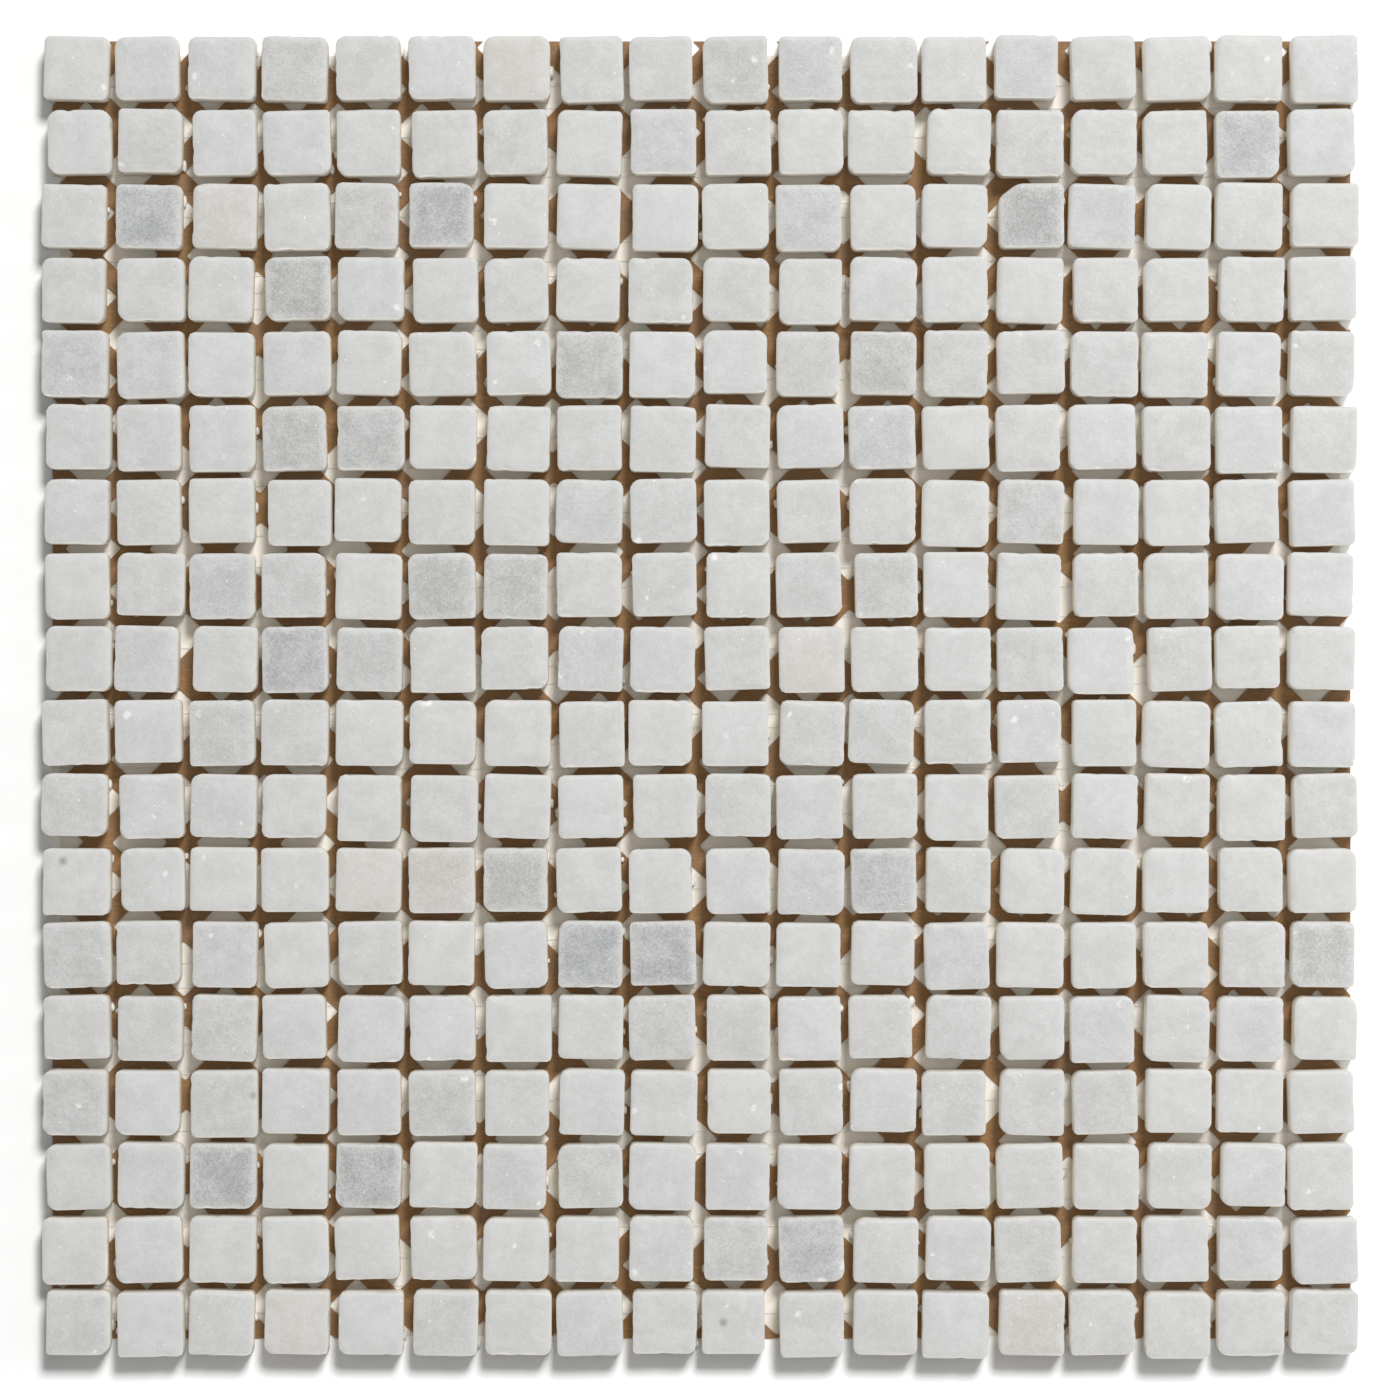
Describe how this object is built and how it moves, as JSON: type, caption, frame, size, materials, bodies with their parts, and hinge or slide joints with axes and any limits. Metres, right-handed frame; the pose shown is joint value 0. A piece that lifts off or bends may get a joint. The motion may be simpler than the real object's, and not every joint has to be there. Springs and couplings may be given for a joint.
{
  "type": "mosaic tile sheet",
  "caption": "Square sheet of small tumbled white marble tiles with open joints, held together by a punched brown paper backing.",
  "frame": {"origin": "on the underside of the paper backing, in the middle of the sheet", "axes": "+Z out of the tiles' faces, +X along the rows of tiles, +Y towards the first row"},
  "size_m": [0.3052, 0.3066, 0.01],
  "materials": {
    "marble": "tumbled, matt",
    "backing_paper": "brown, matt"
  },
  "bodies": {
    "root": {"tile_row_01": "marble", "tile_row_02": "marble", "tile_row_03": "marble", "tile_row_04": "marble", "tile_row_05": "marble", "tile_row_06": "marble", "tile_row_07": "marble", "tile_row_08": "marble", "tile_row_09": "marble", "tile_row_10": "marble", "tile_row_11": "marble", "tile_row_12": "marble", "tile_row_13": "marble", "tile_row_14": "marble", "tile_row_15": "marble", "tile_row_16": "marble", "tile_row_17": "marble", "tile_row_18": "marble", "paper_backing_upper": "backing_paper", "paper_backing_lower": "backing_paper"}
  },
  "joints": []
}
